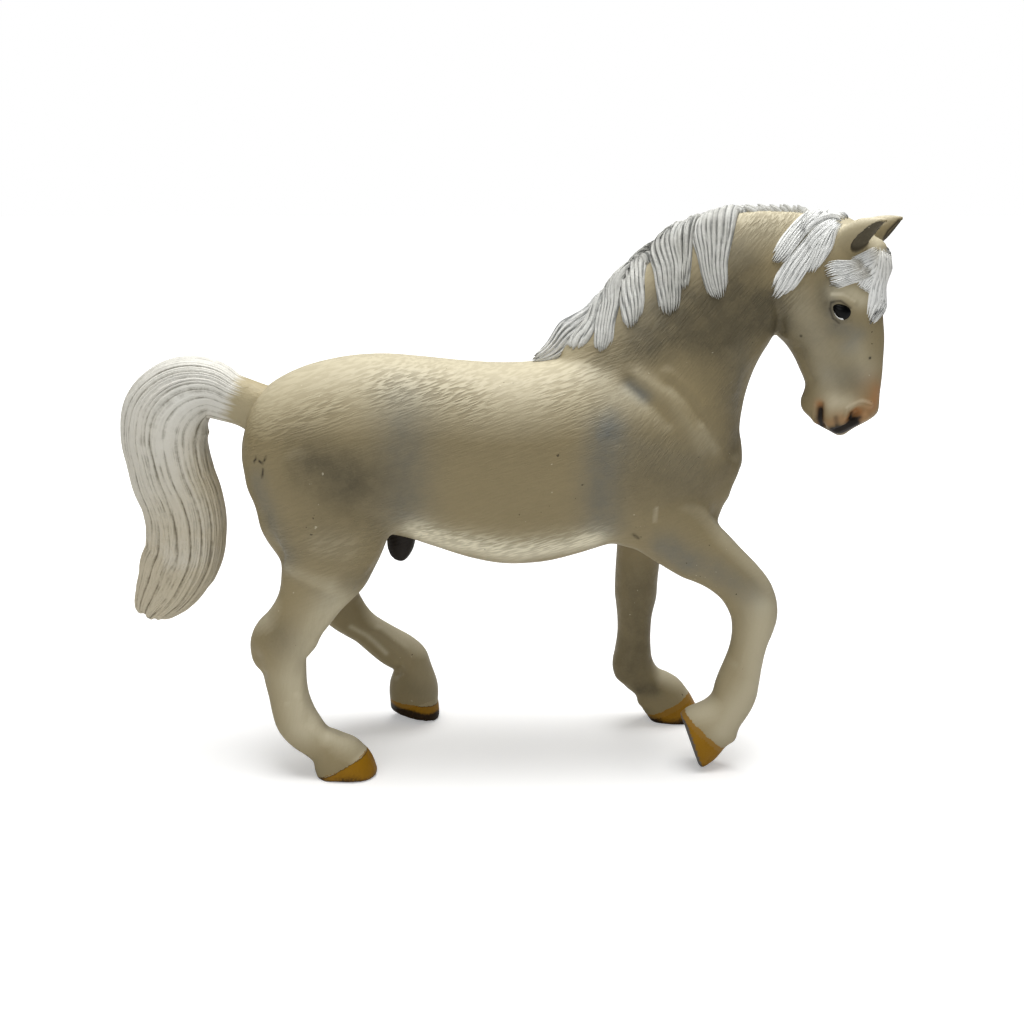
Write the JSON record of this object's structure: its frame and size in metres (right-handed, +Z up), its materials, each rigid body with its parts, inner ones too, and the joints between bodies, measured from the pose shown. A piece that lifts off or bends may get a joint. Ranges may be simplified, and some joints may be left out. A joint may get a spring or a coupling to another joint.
{
  "type": "toy horse figure",
  "caption": "Trotting toy horse with raised foreleg, arched tail, sculpted mane and forelock, made as separate body, head, leg, hoof, hair and eye pieces.",
  "frame": {"origin": "middle of the bounding box's foot, on the surface that the hooves stand on", "axes": "+X towards the head, +Y towards the horse's left side, +Z up"},
  "size_m": [0.1388, 0.0356, 0.1016],
  "materials": {
    "beige_vinyl": "matt beige vinyl with airbrushed blue-grey shading",
    "white_hair": "matt white paint over sculpted locks",
    "grey_white_hair": "matt greyish white drybrush over sculpted strands",
    "ochre_hoof": "satin ochre paint going dark towards the sole",
    "black_eye": "glossy black"
  },
  "bodies": {
    "root": {"trunk": "beige_vinyl", "head": "beige_vinyl", "right_foreleg": "beige_vinyl", "left_foreleg": "beige_vinyl", "right_hindleg": "beige_vinyl", "left_hindleg": "beige_vinyl", "mane": "white_hair", "poll_lock": "white_hair", "forelock": "white_hair", "tail": "grey_white_hair", "right_fore_hoof": "ochre_hoof", "left_fore_hoof": "ochre_hoof", "right_hind_hoof": "ochre_hoof", "left_hind_hoof": "ochre_hoof", "right_eye": "black_eye", "left_eye": "black_eye"}
  },
  "joints": []
}
